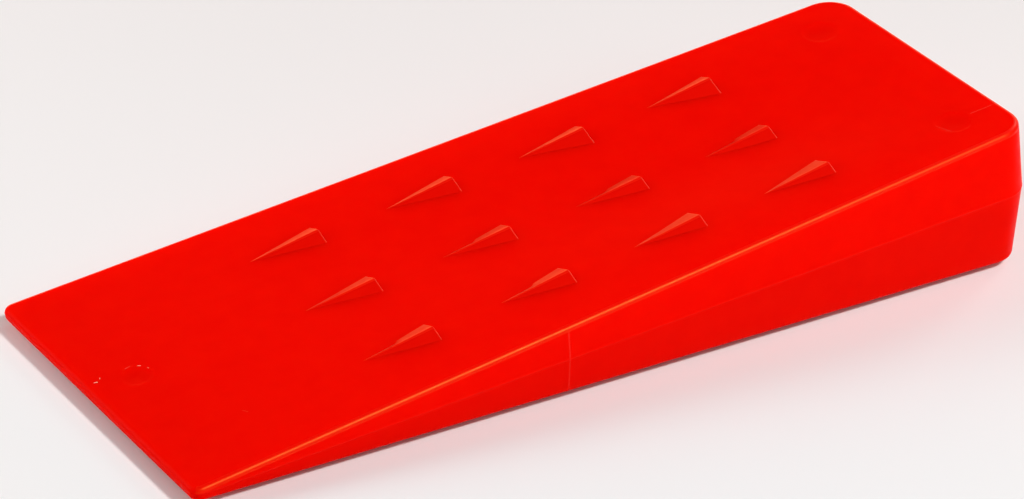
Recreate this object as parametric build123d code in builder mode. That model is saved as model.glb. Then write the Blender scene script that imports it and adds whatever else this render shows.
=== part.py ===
"""Barbed plastic felling wedge, lying on its lower barbs with the thin edge towards -X.

One moulding: a long wedge body with a grid of barbs on both kerf faces. The body's sides and
poll draft both ways from a parting plane, which runs from the blunt thin edge to half way up
the poll. The barbs are half-pyramids that point to the thin edge, so the wedge slides into
the kerf and is held against slipping back. Each barb is a solid of its own that meets the
body's surface face to face. Origin: centre of the footprint, on the surface that the lower
barbs stand on. +X runs from the thin edge to the poll, +Z is up.
"""

import os
from math import atan, cos, degrees, pi, radians, sin, tan

from build123d import *

os.makedirs("parts", exist_ok=True)

# Overall size, in millimetres and degrees
length = 203.0                  # thin edge to poll, along the lower face
tip_width = 80.6                # across the parting line at the thin edge
poll_width = 72.0               # across the parting line at the poll
tip_thickness = 2.8
poll_thickness = 32.6
tip_parting_height = 1.7        # parting line above the lower face, at the thin edge
poll_parting_height = 17.2      # and at the poll
draft = 5.0                     # lean of the sides and the poll, away from the parting plane

# Rounding
tip_corner_radius = 2.2         # in plan
poll_corner_radius = 8.0        # in plan
edge_radius = 1.1               # round both kerf faces, blunt thin edge included

# Shrinkage dish in the upper face, deepest towards the thick end
dish_half_width = 27.5
dish_start = 10.0               # from the thin edge
dish_end = 196.0
dish_depth = 2.2                # at its deepest
dish_skew = 2.4                 # moves the deepest point towards the poll
dish_stations = (0.04, 0.2, 0.35, 0.5, 0.65, 0.78, 0.9, 0.998)  # shares of the dish's length
cutter_height = 3.0             # how far cutters stand above the upper face

# Ejector pin marks in the upper face: distance from the thin edge, across, radius
ejector_marks = ((9.8, 0.0, 3.0), (190.5, 23.8, 3.8), (190.5, -23.8, 3.8))
ejector_mark_depth = 0.3        # under the plane of the upper face

# Barbs
barb_rows = ("a", "b", "c")     # from +Y to -Y
barb_columns = 4                # counted from the thin edge
barb_start = 47.7               # thin edge to the first barb's point
column_pitch = 32.1
row_pitch = 22.7
barb_length = 16.3
barb_half_width = 3.55
barb_height = 1.5
barb_root = 1.0                 # how far a barb's blank reaches under the face before trimming

# What follows from the size
tip_x = -length / 2
lower_face_z = barb_height
parting_angle = degrees(atan((poll_parting_height - tip_parting_height) / length))
upper_angle = degrees(atan((poll_thickness - tip_thickness) / length))


def rising_plane(height, angle):
    """Plane that starts at the thin edge, this far above the lower face, and rises to the poll."""
    slope = radians(angle)
    return Plane(
        origin=(tip_x, 0, lower_face_z + height),
        x_dir=(cos(slope), 0, sin(slope)),
        z_dir=(-sin(slope), 0, cos(slope)),
    )


parting_plane = rising_plane(tip_parting_height, parting_angle)
upper_plane = rising_plane(tip_thickness, upper_angle)
lower_plane = Plane(origin=(tip_x, 0, lower_face_z), x_dir=(1, 0, 0), z_dir=(0, 0, -1))


# The dish's cutter: circular segments across the upper face, lofted along it
with BuildPart() as dish:
    for share in dish_stations:
        along = dish_start + share * (dish_end - dish_start)
        depth = dish_depth * sin(pi * share**dish_skew)
        middle = upper_plane.from_local_coords((along, 0, 0))
        with BuildSketch(Plane(origin=middle, x_dir=(0, 1, 0), z_dir=upper_plane.x_dir)):
            with BuildLine():
                ThreePointArc((-dish_half_width, 0), (0, -depth), (dish_half_width, 0))
                Polyline(
                    (dish_half_width, 0),
                    (dish_half_width, cutter_height),
                    (-dish_half_width, cutter_height),
                    (-dish_half_width, 0),
                )
            make_face()
    loft()

# The body: a drafted prism on the parting plane, trimmed to the two kerf faces, then rounded
with BuildPart() as wedge_body:
    with BuildSketch(parting_plane):
        with BuildLine():
            parting_length = length / cos(radians(parting_angle))
            Polyline(
                (0, -tip_width / 2),
                (parting_length, -poll_width / 2),
                (parting_length, poll_width / 2),
                (0, tip_width / 2),
                close=True,
            )
        make_face()
        fillet(vertices().group_by(Axis.X)[0], tip_corner_radius)
        fillet(vertices().group_by(Axis.X)[-1], poll_corner_radius)
    extrude(amount=poll_thickness, taper=draft)
    mirror(about=parting_plane)
    for kerf_plane in (upper_plane, lower_plane):
        split(bisect_by=kerf_plane, keep=Keep.BOTTOM)
    for kerf_plane in (upper_plane, lower_plane):
        kerf_face = faces().filter_by(lambda face: face.normal_at().dot(kerf_plane.z_dir) > 0.9999)
        fillet(kerf_face.edges(), edge_radius)
    add(dish.part, mode=Mode.SUBTRACT)
    for along, across, radius in ejector_marks:
        with BuildSketch(upper_plane.offset(-ejector_mark_depth)):
            with Locations((along, across)):
                Circle(radius)
        extrude(amount=cutter_height, mode=Mode.SUBTRACT)
wedge_body.part.label = "wedge_body"
export_step(wedge_body.part, "parts/wedge_body.step")


def surface_point(face_plane, along, across):
    """Point of the body's surface under a place on a kerf face's plane."""
    above = face_plane.from_local_coords((along, across, cutter_height))
    hits = wedge_body.part.find_intersection_points(Axis(above, -face_plane.z_dir))
    return min((point for point, _ in hits), key=lambda point: (point - above).length)


def make_barb(face_plane, draw, along, across):
    """Half-pyramid on a kerf face, with its rear wall in the mould's direction of draw.

    The blank carries the barb's own planes down under the face, and the body trims it.
    """
    point = surface_point(face_plane, along, across)
    rear = surface_point(face_plane, along + barb_length, across)
    wall_height = barb_height / draw.dot(face_plane.z_dir)
    peak = rear + draw * wall_height
    blank = 1 + barb_root / wall_height
    across_dir = face_plane.y_dir
    with BuildPart() as barb:
        with BuildSketch(Plane(origin=rear, x_dir=across_dir, z_dir=across_dir.cross(draw))) as wall:
            with BuildLine():
                Polyline(
                    (-barb_half_width * blank, -barb_root),
                    (0, wall_height),
                    (barb_half_width * blank, -barb_root),
                    close=True,
                )
            make_face()
        loft(sections=[wall.sketch.face(), Vertex(*(peak + (point - peak) * blank))])
        add(wedge_body.part, mode=Mode.SUBTRACT)
    return barb.part


draws = {"upper": (upper_plane, parting_plane.z_dir), "lower": (lower_plane, -parting_plane.z_dir)}
for side, (face_plane, draw) in draws.items():
    for row_number, row in enumerate(barb_rows):
        across = (1 - row_number) * row_pitch * face_plane.y_dir.Y
        for column in range(barb_columns):
            barb = make_barb(face_plane, draw, barb_start + column * column_pitch, across)
            barb.label = f"{side}_barb_{row}{column + 1}"
            export_step(barb, f"parts/{barb.label}.step")
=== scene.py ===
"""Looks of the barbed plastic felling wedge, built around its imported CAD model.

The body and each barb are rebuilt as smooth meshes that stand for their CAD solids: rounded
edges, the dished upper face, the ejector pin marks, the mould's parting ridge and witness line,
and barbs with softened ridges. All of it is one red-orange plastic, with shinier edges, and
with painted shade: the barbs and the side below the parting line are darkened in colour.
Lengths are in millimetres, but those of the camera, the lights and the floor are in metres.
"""

from math import atan, cos, inf, pi, radians, sin, tan

import bmesh
import bpy
import numpy as np
from mathutils import Matrix, Vector


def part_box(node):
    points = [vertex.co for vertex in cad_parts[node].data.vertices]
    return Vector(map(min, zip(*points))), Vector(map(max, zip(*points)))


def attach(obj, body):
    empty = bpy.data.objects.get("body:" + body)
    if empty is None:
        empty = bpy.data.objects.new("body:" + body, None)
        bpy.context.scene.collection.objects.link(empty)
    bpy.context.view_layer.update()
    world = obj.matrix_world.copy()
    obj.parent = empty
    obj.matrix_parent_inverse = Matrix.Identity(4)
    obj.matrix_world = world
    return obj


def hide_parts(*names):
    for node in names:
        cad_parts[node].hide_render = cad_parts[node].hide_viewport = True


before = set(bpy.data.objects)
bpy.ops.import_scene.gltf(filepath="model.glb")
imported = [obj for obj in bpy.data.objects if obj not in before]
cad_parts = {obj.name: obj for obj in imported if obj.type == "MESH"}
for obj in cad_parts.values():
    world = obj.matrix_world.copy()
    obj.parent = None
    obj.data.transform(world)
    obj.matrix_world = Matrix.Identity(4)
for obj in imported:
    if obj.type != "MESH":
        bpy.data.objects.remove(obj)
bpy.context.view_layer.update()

MM = 0.001

# ---------------------------------------------------------------- the wedge's own sizes

body_low, body_high = (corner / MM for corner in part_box("wedge_body"))
length = body_high.x - body_low.x
tip_x = body_low.x
lower_face_z = body_low.z

tip_width = 80.6                # across the parting line
poll_width = 72.0
tip_thickness = 2.8
poll_thickness = 32.6
tip_parting_height = 1.7        # parting line above the lower face
poll_parting_height = 17.2
draft = radians(5.0)
tip_corner_radius = 2.2
poll_corner_radius = 8.0
edge_radius = 1.15

barb_length = 16.3
barb_half_width = 3.55
barb_height = 1.5

upper_slope = atan((poll_thickness - tip_thickness) / length)
parting_slope = atan((poll_parting_height - tip_parting_height) / length)
parting_length = length / cos(parting_slope)


class Face:
    """A flat of the wedge that starts at the thin edge: along it, across it and out of it."""

    def __init__(self, height, slope, flipped=False):
        turn = -1 if flipped else 1
        self.origin = np.array((tip_x, 0.0, lower_face_z + height))
        self.along = np.array((cos(slope), 0.0, sin(slope)))
        self.normal = np.array((-sin(slope), 0.0, cos(slope))) * turn
        self.across = np.array((0.0, turn, 0.0))

    def place(self, along, across, height=0.0):
        """Points in space for places on the flat, as an array with a last axis of three."""
        along, across, height = np.broadcast_arrays(along, across, height)
        return (
            self.origin
            + along[..., None] * self.along
            + across[..., None] * self.across
            + height[..., None] * self.normal
        )

    def read(self, points):
        """Places along and across the flat, for points in space."""
        away = points - self.origin
        return away @ self.along, away @ self.across


parting = Face(tip_parting_height, parting_slope)
upper = Face(tip_thickness, upper_slope)
lower = Face(0.0, 0.0, flipped=True)


def smooth_step(value):
    value = np.clip(value, 0.0, 1.0)
    return value * value * (3 - 2 * value)


# ---------------------------------------------------------------- relief of the two kerf faces

dish_start, dish_end = 10.0, 196.0
dish_half_width = 30.0
dish_depth = 2.1
dish_skew = 2.4                 # moves the deepest point towards the poll
ripple_height = 0.035
ripple_waves = (                # share of the height, run along and across per radian, bow
    (1.0, 17.0, inf, 0.6),
    (0.7, 31.0, 9.0, 0.0),
    (0.4, 7.3, -11.0, 0.0),
)
bow_run = 13.0                  # run across per radian of the crests' bow
upper_phase, lower_phase = 0.4, 1.7
ejector_marks = ((9.9, 0.8, 3.0), (190.6, 23.8, 3.8), (190.6, -23.8, 3.8))
mark_depth = 0.16
mark_hollow = 0.2               # how much deeper a mark's middle is
mark_lip = 0.6                  # width of the step round a mark


def ripple(along, across, phase):
    """The slow waves of a moulded face, a few hundredths of a millimetre high."""
    height = 0.0
    for number, (share, along_run, across_run, bow) in enumerate(ripple_waves, 1):
        turn = along / along_run + across / across_run + bow * np.sin(across / bow_run)
        height = height + share * np.sin(turn + number * phase)
    return ripple_height * height


def upper_relief(along, across):
    share = np.clip((along - dish_start) / (dish_end - dish_start), 0.0, 1.0)
    reach = np.clip(np.abs(across) / dish_half_width, 0.0, 1.0)
    relief = -dish_depth * np.sin(pi * share**dish_skew) * np.cos(pi / 2 * reach) ** 2
    for mark_along, mark_across, radius in ejector_marks:
        distance = np.hypot(along - mark_along, across - mark_across)
        relief -= mark_depth * smooth_step((radius - distance) / mark_lip + 0.5)
        relief -= mark_hollow * smooth_step(1 - distance / radius)
    return relief + ripple(along, across, upper_phase)


def lower_relief(along, across):
    return ripple(along, across, lower_phase)


# ---------------------------------------------------------------- mesh helpers

fine_spacing = 0.36             # between points where a kerf face has detail
spacing_samples = 6001
spacing_blend = 4               # coarse steps over which the spacing changes


def make_piece(name, points, faces, polished, replaced):
    """A smooth closed mesh from points in millimetres, standing for one CAD node.

    Each face has a flag in polished, true where it gets the piece's second, shinier material.
    """
    mesh = bpy.data.meshes.new(name)
    mesh.from_pydata((np.asarray(points) * MM).tolist(), [], [list(face) for face in faces])
    work = bmesh.new()
    work.from_mesh(mesh)
    bmesh.ops.recalc_face_normals(work, faces=work.faces)
    work.to_mesh(mesh)
    work.free()
    mesh.polygons.foreach_set("use_smooth", [True] * len(mesh.polygons))
    mesh.polygons.foreach_set("material_index", [int(flag) for flag in polished])
    piece = bpy.data.objects.new(name, mesh)
    bpy.context.scene.collection.objects.link(piece)
    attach(piece, "root")
    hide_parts(replaced)
    return piece


def spaced_shares(run, zones, coarse):
    """Shares of a run from 0 to 1, close together in the zones and wider apart elsewhere."""
    places = np.linspace(0.0, run, spacing_samples)
    nearness = np.zeros_like(places)
    for low, high in zones:
        outside = np.maximum(low - places, places - high)
        nearness = np.maximum(nearness, smooth_step(1 - outside / (spacing_blend * coarse)))
    density = nearness / fine_spacing + (1 - nearness) / coarse
    total = np.concatenate(([0.0], np.cumsum((density[1:] + density[:-1]) / 2) * places[1]))
    count = int(round(total[-1]))
    return np.interp(np.linspace(0.0, total[-1], count + 1), total, places) / run


# ---------------------------------------------------------------- body

long_spacing = 1.3              # between points along the wedge, away from its ends
short_spacing = 0.85            # and across it, away from the ejector marks
tip_zone = 13.0                 # length of the finely spaced zone at the thin edge
poll_zone = 14.0                # and at the poll
arc_steps = 5                   # in half a corner, seen in plan
edge_steps = 9                  # round a kerf face's edge
witness_along = 85.6            # mould line across the -Y side
witness_offsets = np.array((-0.45, -0.2, 0.0, 0.2, 0.45))
witness_heights = np.array((0.0, 0.0, 0.09, 0.0, 0.0))
witness_gap = 0.4               # to the nearest other station
flash_top = 0.05                # height of the ridge on the parting line
flash_profile = ((0.6, 0.0), (0.26, 0.0), (0.12, 0.025))  # places beside it, and the ridge's heights
flash_room = 1.2                # a side lower than this squeezes those places together
flash_border = 0.9              # the side's own stations keep this far from the parting line,
flash_border_share = 0.6        # or, on a low side, this share of its height
side_shares = (0.75, 0.5, 0.25)
near_side_limit = -0.99         # outward normals across the wedge below this are the near side's
relief_fade = 2.5               # width of the border where a face's relief dies out

tip_corners = ((0.0, -tip_width / 2), (0.0, tip_width / 2))
poll_corners = ((parting_length, -poll_width / 2), (parting_length, poll_width / 2))


def long_side_shares():
    """Stations between the corner arcs of a long side, with the witness line's own stations."""
    run = parting_length - tip_corner_radius - poll_corner_radius
    shares = spaced_shares(run, ((0.0, tip_zone), (run - poll_zone, run)), long_spacing)
    witness = (witness_along - tip_corner_radius + witness_offsets) / run
    gap = witness_gap / run
    clear = (shares < witness[0] - gap) | (shares > witness[-1] + gap)
    return np.sort(np.concatenate((shares[clear], witness)))


def short_side_shares():
    """Stations across the wedge, close together where the ejector marks are."""
    run = poll_width - 2 * poll_corner_radius
    marks = [(run / 2 + across - radius, run / 2 + across + radius)
             for _, across, radius in ejector_marks]
    return spaced_shares(run, marks, short_spacing)


def plan_outline():
    """The outline on the parting plane: points and outward normals, side by side.

    The loop runs near side, poll, far side, thin edge. Each side starts half way round a
    corner, so that the loop's four starts are the corners of the grid that fills a kerf face.
    """
    corners = (tip_corners[0], poll_corners[0], poll_corners[1], tip_corners[1])
    radii = (tip_corner_radius, poll_corner_radius, poll_corner_radius, tip_corner_radius)
    corners = [np.array(corner) for corner in corners]
    arcs = []
    for number, (corner, radius) in enumerate(zip(corners, radii)):
        arrive = corner - corners[number - 1]
        leave = corners[(number + 1) % 4] - corner
        starts = []
        for way in (arrive, leave):
            starts.append(np.arctan2(-way[0], way[1]))
        if starts[1] < starts[0]:
            starts[1] += 2 * pi
        normals = [np.array((cos(angle), sin(angle))) for angle in starts]
        centre = corner - radius * (normals[0] + normals[1]) / (1 + normals[0] @ normals[1])
        arcs.append((centre, radius, starts[0], starts[1]))
    long_shares, short_shares = long_side_shares(), short_side_shares()
    points, normals, starts = [], [], []
    for number in range(4):
        shares = (long_shares, short_shares, long_shares[::-1], short_shares[::-1])[number]
        if number >= 2:
            shares = 1 - shares
        centre, radius, first, last = arcs[number]
        turned = np.linspace((first + last) / 2, last, arc_steps + 1)
        next_centre, next_radius, next_first, next_last = arcs[(number + 1) % 4]
        turning = np.linspace(next_first, (next_first + next_last) / 2, arc_steps + 1)
        starts.append(sum(len(part) for part in points))
        leave = centre + radius * np.stack((np.cos(turned), np.sin(turned)), 1)
        meet = next_centre + next_radius * np.stack((np.cos(turning), np.sin(turning)), 1)
        straight = leave[-1] + shares[1:-1, None] * (meet[0] - leave[-1])
        points.append(np.concatenate((leave, straight, meet[:-1])))
        side_normal = np.repeat([[cos(last), sin(last)]], len(straight), 0)
        normals.append(np.concatenate((
            np.stack((np.cos(turned), np.sin(turned)), 1),
            side_normal,
            np.stack((np.cos(turning), np.sin(turning)), 1)[:-1],
        )))
    return np.concatenate(points), np.concatenate(normals), starts


def body_rings():
    """Closed rings of points from the upper kerf face's edge, down the sides, to the lower one."""
    outline, normals, starts = plan_outline()
    foot = parting.place(outline[:, 0], outline[:, 1])
    outward = normals[:, :1] * parting.along + normals[:, 1:] * parting.across
    witness = np.interp(outline[:, 0], witness_along + witness_offsets, witness_heights)
    witness = witness * (normals[:, 1] < near_side_limit)
    halves = []
    for face, sense in ((upper, 1), (lower, -1)):
        rise = sense * parting.normal
        side_normal = outward * cos(draft) + rise * sin(draft)
        lean = rise - outward * tan(draft)
        # height at which a ball of the edge's radius, inside the side, also touches the face
        below = (foot - edge_radius * side_normal - face.origin) @ face.normal
        contact = (-edge_radius - below) / (lean @ face.normal)
        centre = foot + lean * contact[:, None] - edge_radius * side_normal
        sweep = np.arccos(side_normal @ face.normal)
        rings = []
        for share in np.linspace(1.0, 0.0, edge_steps + 1):
            toward = (
                np.sin((1 - share) * sweep)[:, None] * side_normal
                + np.sin(share * sweep)[:, None] * face.normal
            ) / np.sin(sweep)[:, None]
            lift = witness * (1 - share)
            rings.append(centre + (edge_radius + lift[:, None]) * toward)
        border = np.minimum(flash_border, contact * flash_border_share)
        for share in side_shares:
            height = contact * share + (1 - share) * border
            rings.append(foot + lean * height[:, None] + witness[:, None] * side_normal)
        for place, ridge in flash_profile:
            height = np.minimum(place, contact * place / flash_room)
            rings.append(
                foot + lean * height[:, None] + (ridge + witness)[:, None] * side_normal
            )
        halves.append(rings)
    middle = foot + (flash_top + witness)[:, None] * outward
    return halves[0] + [middle] + halves[1][::-1], starts


def fill_face(face, ring, ring_start, starts, next_index, relief):
    """The grid that fills a kerf face inside its ring: new points, and the quads over them."""
    count = len(ring)
    along_steps = starts[1]
    across_steps = starts[2] - starts[1]
    edge = np.arange(count)
    table = np.zeros((along_steps + 1, across_steps + 1), int)
    table[:, 0] = edge[:along_steps + 1]
    table[-1, :] = edge[starts[1]:starts[2] + 1]
    table[:, -1] = edge[starts[2]:starts[3] + 1][::-1]
    table[0, :] = np.append(edge[starts[3]:], 0)[::-1]
    flat = np.stack(face.read(ring), 1)
    near, far = flat[table[:, 0]], flat[table[:, -1]]
    tip, poll = flat[table[0, :]], flat[table[-1, :]]
    share = (near + far)[:, 0]
    share = ((share - share[0]) / (share[-1] - share[0]))[:, None, None]
    turn = tip[:, 1] / tip[-1, 1] + poll[:, 1] / poll[-1, 1]
    turn = ((turn - turn[0]) / (turn[-1] - turn[0]))[None, :, None]
    grid = (
        (1 - turn) * near[:, None] + turn * far[:, None]
        + (1 - share) * tip[None] + share * poll[None]
        - (1 - share) * (1 - turn) * tip[0] - share * (1 - turn) * poll[0]
        - (1 - share) * turn * tip[-1] - share * turn * poll[-1]
    )[1:-1, 1:-1]
    along, across = grid[..., 0], grid[..., 1]
    edge_distance = np.minimum.reduce((
        along - tip[:, 0].min(), poll[:, 0].max() - along,
        across - np.minimum(near, far)[1:-1, None, 1], np.maximum(near, far)[1:-1, None, 1] - across,
    ))
    height = relief(along, across) * smooth_step(edge_distance / relief_fade)
    points = face.place(along, across, height).reshape(-1, 3)
    table = table + ring_start
    table[1:-1, 1:-1] = next_index + np.arange(len(points)).reshape(along.shape)
    quads = np.stack((table[:-1, :-1], table[1:, :-1], table[1:, 1:], table[:-1, 1:]), -1)
    return points, quads.reshape(-1, 4)


def make_body():
    rings, starts = body_rings()
    count = len(rings[0])
    points = np.concatenate(rings)
    here = np.arange(count)
    ahead = (here + 1) % count
    faces = [
        np.stack((number * count + here, number * count + ahead,
                  (number + 1) * count + ahead, (number + 1) * count + here), -1)
        for number in range(len(rings) - 1)
    ]
    for face, number, relief in ((upper, 0, upper_relief), (lower, len(rings) - 1, lower_relief)):
        extra, quads = fill_face(face, rings[number], number * count, starts, len(points), relief)
        points = np.concatenate((points, extra))
        faces.append(quads)
    faces = np.concatenate(faces)
    ring_faces = np.arange(len(faces))
    polished = (ring_faces < edge_steps * count) & (ring_faces % count < starts[3])
    return make_piece("wedge_body_skin", points, faces, polished, "wedge_body")


# ---------------------------------------------------------------- barbs

ridge_radius = 0.24
rear_edge_radius = 0.4
shouldered_barbs = {"upper_barb_b2", "upper_barb_b3", "upper_barb_b4", "upper_barb_c1", "upper_barb_c2"}
shoulder_share = 0.5            # where the far flank of such a barb widens
shoulder_narrowing = 0.28       # how much narrower that flank is before it
blank_depth = 0.7               # how far a barb reaches under the face
point_share = 0.02              # the ridge's rounding grows from here
point_radius_share = 1 / 6      # of the barb's half-width there, at most
shoulder_run = 0.06             # share of the barb's length in which the flank widens
crowding = 1.5                  # crowds the points towards the ridge
wall_start = 4                  # power by which the rear wall's lean comes in along the barb
rear_edge_share = 1 / 3         # of the rear wall's height that its rounding takes at most
rear_edge_turns = (0.25, 0.5, 0.75, 1.0)
wall_shares = (0.3, 0.7, 1.0)   # stations down the rear wall
barb_rows = 44
barb_columns = 13               # points on each side of the ridge
polished_columns = 3            # and the columns of faces along it that shine more


def barb_height_at(share, across):
    """Height of a barb's softened ridge and facets over the face, below zero under it."""
    slope = barb_height / barb_half_width
    width = barb_half_width * (share + blank_depth / barb_height)
    bend = min(ridge_radius, barb_half_width * max(share, point_share) * point_radius_share)
    sharp = np.hypot(across, bend) - np.hypot(width, bend) + width
    return barb_height * share - slope * sharp


def make_barb(node, face, relief, draw):
    """A half-pyramid, where its CAD node is, with a steep rear wall in the mould's draw."""
    low, high = (np.array(corner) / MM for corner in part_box(node))
    start, middle = face.read(np.array((low[0], (low[1] + high[1]) / 2, low[2])))
    level = relief(np.array((start, start + barb_length)), middle)
    lean = draw / (draw @ face.normal)
    slack = -blank_depth / barb_height
    shares = slack + (1 - slack) * np.linspace(0.0, 1.0, barb_rows)
    shares[-1] = 1 - rear_edge_radius / barb_length
    reach = np.linspace(-1.0, 1.0, 2 * barb_columns + 1)
    reach = np.sign(reach) * np.abs(reach) ** crowding
    narrowing = shoulder_narrowing if node in shouldered_barbs else 0.0
    rows = []

    def add_row(share, heights, across, wall=0.0):
        ground = level[0] + share * (level[1] - level[0])
        narrow = 1 - narrowing * (1 - smooth_step((share - shoulder_share) / shoulder_run))
        across = np.where(across > 0, across * narrow, across)
        foot = face.place(start + share * barb_length, middle + across, ground)
        rows.append(foot + heights[:, None] * (face.normal + wall * (lean - face.normal)))

    for share in shares:
        across = reach * barb_half_width * (share - slack)
        add_row(share, barb_height_at(share, across), across, wall=max(share, 0.0) ** wall_start)
    across = reach * barb_half_width * (1 - slack)
    ridge = barb_height_at(1.0, across)
    soft = np.minimum(rear_edge_radius, (ridge + blank_depth) * rear_edge_share)
    for turn in rear_edge_turns:
        angle = turn * pi / 2
        share = 1 - rear_edge_radius * (1 - sin(angle)) / barb_length
        add_row(share, ridge - soft * (1 - cos(angle)), across, wall=1.0)
    for share in wall_shares:
        add_row(1.0, (ridge - soft) * (1 - share) - blank_depth * share, across, wall=1.0)

    count = len(reach)
    points = np.concatenate(rows)
    faces = []
    polished = []
    for row in range(len(rows) - 1):
        for column in range(count - 1):
            corner = row * count + column
            faces.append((corner, corner + 1, corner + count + 1, corner + count))
            on_rear_edge = 0 <= row - (barb_rows - 1) < len(rear_edge_turns)
            polished.append(on_rear_edge or abs(column + 0.5 - barb_columns) < polished_columns)
    left = [row * count for row in range(len(rows))]
    right = [row * count + count - 1 for row in range(len(rows))]
    last = list(range(left[-1] + 1, right[-1]))
    faces.append(left + last + right[::-1])
    polished.append(False)
    return make_piece(node + "_skin", points, faces, polished, node)


# ---------------------------------------------------------------- material


def on_upper_face(along, across):
    place = np.array(along), np.array(across)
    return upper.place(*place, upper_relief(*place))


# whitened nicks and fine scratches on the upper face: from, to, half-width, strength
scuffs = (
    ((2.1, 4.0), (2.6, 3.75), 0.12, 0.8),
    ((3.5, 4.4), (3.7, 4.75), 0.1, 0.5),
    ((11.75, 3.8), (12.15, 3.5), 0.11, 0.6),
    ((12.95, 2.1), (13.05, 1.75), 0.09, 0.35),
    ((9.2, 4.4), (10.4, 4.6), 0.12, 0.08),
    ((20.6, -22.4), (21.2, -23.4), 0.09, 0.1),
    ((195.4, -23.4), (201.3, -23.6), 0.11, 0.06),
    ((187.0, -22.6), (188.2, -26.4), 0.12, 0.05),
)
fade_outer, fade_inner = 1.4, 0.4   # a mark fades between these shares of its half-width


def link(tree, source, target):
    tree.links.new(source, target)


def add_node(tree, kind, **settings):
    node = tree.nodes.new(kind)
    for name, value in settings.items():
        setattr(node, name, value)
    return node


def scuff_mask(tree, place, start, end, half_width, strength):
    """Strength near the line between two points, in millimetres, and none away from it."""
    first, last = Vector(start * MM), Vector(end * MM)
    run = last - first
    away = add_node(tree, "ShaderNodeVectorMath", operation="SUBTRACT")
    link(tree, place, away.inputs[0])
    away.inputs[1].default_value = first
    share = add_node(tree, "ShaderNodeVectorMath", operation="DOT_PRODUCT")
    link(tree, away.outputs["Vector"], share.inputs[0])
    share.inputs[1].default_value = run / run.length_squared
    within = add_node(tree, "ShaderNodeClamp")
    link(tree, share.outputs["Value"], within.inputs["Value"])
    nearest = add_node(tree, "ShaderNodeVectorMath", operation="SCALE")
    nearest.inputs[0].default_value = run
    link(tree, within.outputs["Result"], nearest.inputs["Scale"])
    gap = add_node(tree, "ShaderNodeVectorMath", operation="DISTANCE")
    link(tree, away.outputs["Vector"], gap.inputs[0])
    link(tree, nearest.outputs["Vector"], gap.inputs[1])
    fade = add_node(tree, "ShaderNodeMapRange", interpolation_type="SMOOTHSTEP")
    fade.inputs["From Min"].default_value = half_width * MM * fade_outer
    fade.inputs["From Max"].default_value = half_width * MM * fade_inner
    fade.inputs["To Max"].default_value = strength
    link(tree, gap.outputs["Value"], fade.inputs["Value"])
    return fade.outputs["Result"]


def any_mask(tree, place, marks):
    """The strongest of the marks' masks."""
    mask = None
    for mark in marks:
        fade = scuff_mask(tree, place, *mark)
        if mask is not None:
            both = add_node(tree, "ShaderNodeMath", operation="MAXIMUM")
            link(tree, mask, both.inputs[0])
            link(tree, fade, both.inputs[1])
            fade = both.outputs["Value"]
        mask = fade
    return mask


def mix_colour(tree, mask, colour, other):
    """From a colour socket to another colour, by a mask."""
    mix = add_node(tree, "ShaderNodeMix", data_type="RGBA")
    link(tree, mask, mix.inputs["Factor"])
    link(tree, colour, mix.inputs["A"])
    mix.inputs["B"].default_value = other
    return mix.outputs["Result"]


def noise(tree, place, size, detail, name="Fac"):
    """Noise with features of this size in millimetres."""
    texture = add_node(tree, "ShaderNodeTexNoise")
    texture.inputs["Scale"].default_value = 1 / (size * MM)
    texture.inputs["Detail"].default_value = detail
    link(tree, place, texture.inputs["Vector"])
    return texture.outputs[name]


def map_range(tree, value, low, high, new_low, new_high):
    change = add_node(tree, "ShaderNodeMapRange")
    for name, number in (("From Min", low), ("From Max", high), ("To Min", new_low), ("To Max", new_high)):
        change.inputs[name].default_value = number
    link(tree, value, change.inputs["Value"])
    return change.outputs["Result"]


clear_red = (0.84, 0.0016, 0.0001, 1)
cloudy_red = (0.92, 0.0032, 0.0001, 1)
pressed_red = (0.5, 0.0006, 0.0001, 1)
pale_pink = (1.0, 0.55, 0.42, 1)
lower_half_tone = 0.93          # painted shade: base colour below the parting line, against that above it
painted_shade_blend = 0.1                # half the height over which the painted shade changes
mark_half_length = 0.5          # of a pressed mark's middle line
mark_spread = 0.72              # share of an ejector mark's radius that is darker
mark_strength = 0.1
witness_half_width, witness_paleness = 0.17, 0.03
parting_half_width, parting_paleness = 0.2, 0.006
wobble_size = 0.3               # how far noise bends the edges of scratches


def pressed_marks():
    """The ejector marks, as short lines along their middles with soft edges."""
    marks = []
    for along, across, radius in ejector_marks:
        start = on_upper_face(along - mark_half_length, across)
        end = on_upper_face(along + mark_half_length, across)
        marks.append((start, end, mark_spread * radius, mark_strength))
    return marks


def mould_marks():
    """Paler lines on the near side where the mould's parts met: along it, and up and down."""
    half_width = (tip_width - (tip_width - poll_width) * witness_along / parting_length) / 2
    middle = parting.place(np.array(witness_along), np.array(-half_width))
    near_corners = np.array((tip_corners[0], poll_corners[0]))
    ends = parting.place(near_corners[:, 0], near_corners[:, 1])
    marks = [(*ends, parting_half_width, parting_paleness)]
    for face, sense in ((upper, 1), (lower, -1)):
        way = sense * parting.normal + parting.across * tan(draft)
        reach = (face.origin - middle) @ face.normal / (way @ face.normal)
        end = middle + way * (reach - edge_radius)
        marks.append((middle, end, witness_half_width, witness_paleness))
    return marks


glow_radius = (1.0, 0.06, 0.03)  # how far red, green and blue travel inside, as shares of
glow_depth = 8.0                # this depth
cloud_size, cloud_detail = 5.0, 4.0
wobble_grain, wobble_detail = 0.5, 2.0
grain_size, grain_detail = 1.4, 5.0
grain_low, grain_high = 0.3, 0.7    # noise between these gives the whole range of roughness
roughness_range = 0.08
bump_strength, bump_height = 0.12, 0.1


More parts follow.
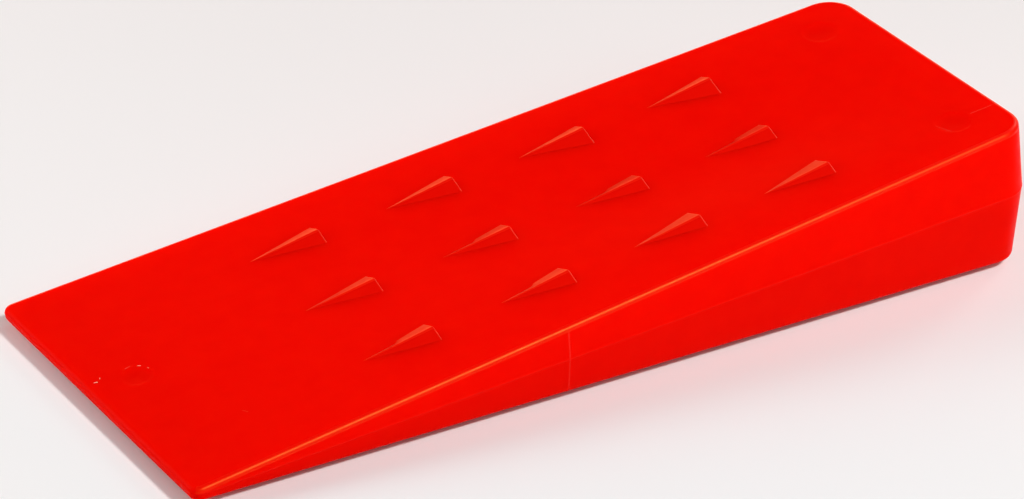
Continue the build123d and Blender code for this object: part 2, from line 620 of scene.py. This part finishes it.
def plastic(name, gloss, tint, roughness, translucency=0.0, painted_shade_factor=1.0):
    """Red-orange plastic, cloudy and scuffed, with as much translucency as is asked for, and with painted
    shade: darker below the parting line, and darker as a whole by the painted shade factor.
    """
    material = bpy.data.materials.new(name)
    material.use_nodes = True
    tree = material.node_tree
    shader = tree.nodes["Principled BSDF"]
    shader.inputs["Specular IOR Level"].default_value = gloss
    shader.inputs["Specular Tint"].default_value = tint
    shader.inputs["Subsurface Weight"].default_value = translucency
    shader.inputs["Subsurface Radius"].default_value = glow_radius
    shader.inputs["Subsurface Scale"].default_value = glow_depth * MM

    place = add_node(tree, "ShaderNodeTexCoord").outputs["Object"]
    cloud = noise(tree, place, cloud_size, cloud_detail)
    base = add_node(tree, "ShaderNodeMix", data_type="RGBA")
    base.inputs["A"].default_value = clear_red
    base.inputs["B"].default_value = cloudy_red
    link(tree, cloud, base.inputs["Factor"])

    # painted shade: the base colour is darkened below the parting line, and darkened as a whole by the
    # painted shade factor given to the material
    side = add_node(tree, "ShaderNodeVectorMath", operation="DOT_PRODUCT")
    link(tree, place, side.inputs[0])
    side.inputs[1].default_value = parting.normal
    level = parting.origin @ parting.normal
    levels = ((level - painted_shade_blend) * MM, (level + painted_shade_blend) * MM)
    half = map_range(tree, side.outputs["Value"], *levels, painted_shade_factor * lower_half_tone, painted_shade_factor)
    shaded_base = add_node(tree, "ShaderNodeVectorMath", operation="SCALE")
    link(tree, base.outputs["Result"], shaded_base.inputs[0])
    link(tree, half, shaded_base.inputs["Scale"])

    wobble = add_node(tree, "ShaderNodeVectorMath", operation="MULTIPLY_ADD")
    link(tree, noise(tree, place, wobble_grain, wobble_detail, "Color"), wobble.inputs[0])
    wobble.inputs[1].default_value = [wobble_size * MM] * 3
    link(tree, place, wobble.inputs[2])
    recentred = add_node(tree, "ShaderNodeVectorMath", operation="SUBTRACT")
    link(tree, wobble.outputs["Vector"], recentred.inputs[0])
    recentred.inputs[1].default_value = [wobble_size * MM / 2] * 3
    pressed = any_mask(tree, place, pressed_marks())
    colour = mix_colour(tree, pressed, shaded_base.outputs["Vector"], pressed_red)
    marks = [(on_upper_face(*start), on_upper_face(*end), *rest) for start, end, *rest in scuffs]
    pale = any_mask(tree, recentred.outputs["Vector"], marks + mould_marks())
    colour = mix_colour(tree, pale, colour, pale_pink)
    link(tree, colour, shader.inputs["Base Color"])

    grain = noise(tree, place, grain_size, grain_detail)
    rough = map_range(tree, grain, grain_low, grain_high, roughness, roughness + roughness_range)
    link(tree, rough, shader.inputs["Roughness"])
    bump = add_node(tree, "ShaderNodeBump")
    bump.inputs["Strength"].default_value = bump_strength
    bump.inputs["Distance"].default_value = bump_height * MM
    link(tree, grain, bump.inputs["Height"])
    link(tree, bump.outputs["Normal"], shader.inputs["Normal"])
    return material


# ---------------------------------------------------------------- camera, light and floor

view_azimuth = radians(-33.9)
view_elevation = radians(28.56)
view_roll = radians(3.32)
view_distance = 0.9273
view_aim = Vector((-0.0087, -0.0046, 0.016))
lens, sensor_width = 160.73, 36
nearest_view = 0.05

floor_half = 6.0
floor_pale = (0.9, 0.9, 0.9, 1)
floor_roughness = 0.9
floor_gloss = 0.1
world_strength = 0.05
softboxes = {                   # direction, distance, width, height, power and perhaps colour
    "back": ((-0.78, 0.58, 0.42), 0.8, 0.6, 0.6, 4.25),
    "horizon": ((0.4, 0.9, 0.11), 1.4, 2.4, 0.3, 11.5, (1, 0.3, 0.1)),
    "rear": ((0.76, 0.29, 0.55), 1.3, 0.3, 0.3, 1.6),
    "front": ((0.0, -0.7, 0.75), 1.4, 1.0, 1.0, 3.45),
    "side": ((0.5, -0.9, 0.35), 1.4, 0.9, 0.9, 2.2),
    "edge": ((0.31, -0.56, 0.77), 1.3, 0.18, 0.18, 10.5),
}


def make_camera():
    back = Vector((
        sin(view_azimuth) * cos(view_elevation),
        -cos(view_azimuth) * cos(view_elevation),
        sin(view_elevation),
    ))
    right = Vector((cos(view_azimuth), sin(view_azimuth), 0))
    up = back.cross(right)
    turn = Matrix.Rotation(view_roll, 3, "Z")
    axes = Matrix((right, up, back)).transposed() @ turn
    data = bpy.data.cameras.new("camera")
    data.lens = lens
    data.sensor_width = sensor_width
    data.clip_start = nearest_view
    camera = bpy.data.objects.new("camera", data)
    camera.matrix_world = Matrix.LocRotScale(view_aim + back * view_distance, axes, None)
    bpy.context.scene.collection.objects.link(camera)
    bpy.context.scene.camera = camera


def make_softbox(name, direction, distance, width, height, power, colour=(1, 1, 1)):
    """A soft light that looks at the wedge from a direction."""
    data = bpy.data.lights.new(name, "AREA")
    data.shape = "RECTANGLE"
    data.size = width
    data.size_y = height
    data.energy = power
    data.color = colour
    light = bpy.data.objects.new(name, data)
    away = Vector(direction).normalized()
    light.location = away * distance
    light.rotation_euler = away.to_track_quat("Z", "Y").to_euler()
    bpy.context.scene.collection.objects.link(light)


def make_stage():
    mesh = bpy.data.meshes.new("floor")
    corners = [(x * floor_half, y * floor_half, 0) for x, y in ((-1, -1), (1, -1), (1, 1), (-1, 1))]
    mesh.from_pydata(corners, [], [(0, 1, 2, 3)])
    floor = bpy.data.objects.new("floor", mesh)
    bpy.context.scene.collection.objects.link(floor)
    material = bpy.data.materials.new("pale_floor")
    material.use_nodes = True
    shader = material.node_tree.nodes["Principled BSDF"]
    shader.inputs["Base Color"].default_value = floor_pale
    shader.inputs["Roughness"].default_value = floor_roughness
    shader.inputs["Specular IOR Level"].default_value = floor_gloss
    mesh.materials.append(material)
    world = bpy.data.worlds.new("studio")
    world.use_nodes = True
    background = world.node_tree.nodes["Background"]
    background.inputs["Color"].default_value = (1, 1, 1, 1)
    background.inputs["Strength"].default_value = world_strength
    bpy.context.scene.world = world
    bpy.context.scene.view_settings.view_transform = "Standard"
    for name, settings in softboxes.items():
        make_softbox(name, *settings)


make_camera()
make_stage()
wedge = [make_body()]
for node in sorted(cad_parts):
    if node.startswith("upper_barb"):
        wedge.append(make_barb(node, upper, upper_relief, parting.normal))
    if node.startswith("lower_barb"):
        wedge.append(make_barb(node, lower, lower_relief, -parting.normal))
body_plastics = [
    plastic("body_plastic", 0.012, (1.0, 0.2, 0.05, 1), roughness=0.28, translucency=0.6),
    plastic("body_edge_plastic", 0.4, (1.0, 0.48, 0.08, 1), roughness=0.31, translucency=0.6),
]
barb_plastics = [
    # painted shade: the barbs' base colour is darkened, standing in for the shade on their near facets
    plastic("barb_plastic", 0.12, (1.0, 0.5, 0.12, 1), roughness=0.3, painted_shade_factor=0.91),
    plastic("barb_edge_plastic", 0.8, (1.0, 0.45, 0.12, 1), roughness=0.3),
]
for piece in wedge:
    for material in body_plastics if piece is wedge[0] else barb_plastics:
        piece.data.materials.append(material)
